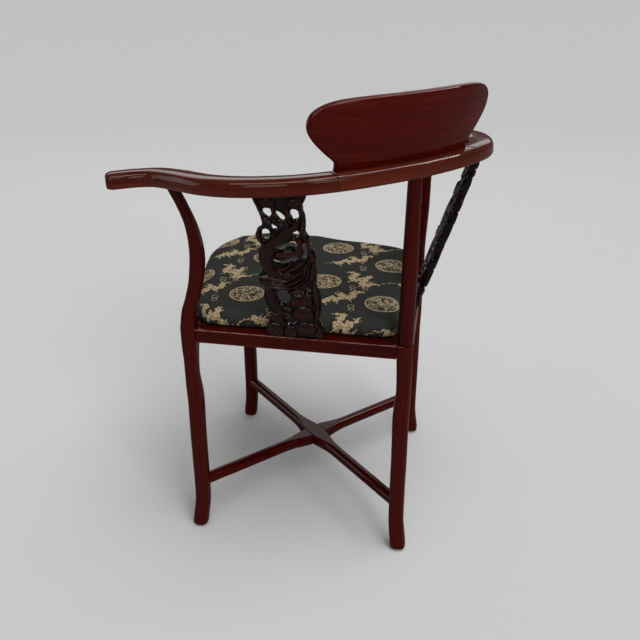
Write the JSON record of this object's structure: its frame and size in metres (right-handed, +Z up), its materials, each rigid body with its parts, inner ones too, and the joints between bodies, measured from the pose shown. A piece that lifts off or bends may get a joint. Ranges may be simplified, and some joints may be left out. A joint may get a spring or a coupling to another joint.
{
  "type": "corner armchair",
  "caption": "Lacquered hardwood corner armchair: square seat set corner-first, horseshoe arm rail with bowed crest, pierced dragon splats, crossed stretcher and loose brocade cushion.",
  "frame": {"origin": "on the floor, midway between the four feet", "axes": "+Z up, -Y the way the sitter faces (the seat's front corner), +X the sitter's left"},
  "size_m": [0.7484, 0.605, 0.8755],
  "materials": {
    "rosewood": "dark red-brown gloss lacquer",
    "crest_rosewood": "red-brown gloss lacquer with fine level grain",
    "carved_rosewood": "near-black brown lacquer on carving",
    "dowel_beech": "bare",
    "seat_board": "bare",
    "glide_nylon": "moulded",
    "black_brocade": "satin ground with gold figured weave"
  },
  "bodies": {
    "frame": {"front_leg": "rosewood", "left_leg": "rosewood", "right_leg": "rosewood", "back_leg": "rosewood", "back_post": "rosewood", "seat_rail_rear_left": "rosewood", "seat_rail_rear_right": "rosewood", "seat_rail_front_left": "rosewood", "seat_rail_front_right": "rosewood", "stretcher_side": "rosewood", "stretcher_front_back": "rosewood", "arm_left": "rosewood", "arm_right": "rosewood", "arm_back": "rosewood", "crest_board": "crest_rosewood", "splat_left": "carved_rosewood", "splat_right": "carved_rosewood", "arm_dowel_left_outer": "dowel_beech", "arm_dowel_left_inner": "dowel_beech", "arm_dowel_right_outer": "dowel_beech", "arm_dowel_right_inner": "dowel_beech", "crest_dowel_left": "dowel_beech", "crest_dowel_right": "dowel_beech", "seat_panel": "seat_board", "seat_batten_1": "seat_board", "seat_batten_2": "seat_board", "corner_block_front": "seat_board", "corner_block_left": "seat_board", "corner_block_back": "seat_board", "corner_block_right": "seat_board", "foot_glide_front": "glide_nylon", "foot_glide_left": "glide_nylon", "foot_glide_back": "glide_nylon", "foot_glide_right": "glide_nylon"},
    "cushion": {"seat_cushion": "black_brocade"}
  },
  "joints": [
    {"name": "cushion_lift", "type": "slide", "parent": "frame", "child": "cushion", "axis": [0, -0.6, 0.8], "range_m": [0, 0.35]}
  ]
}
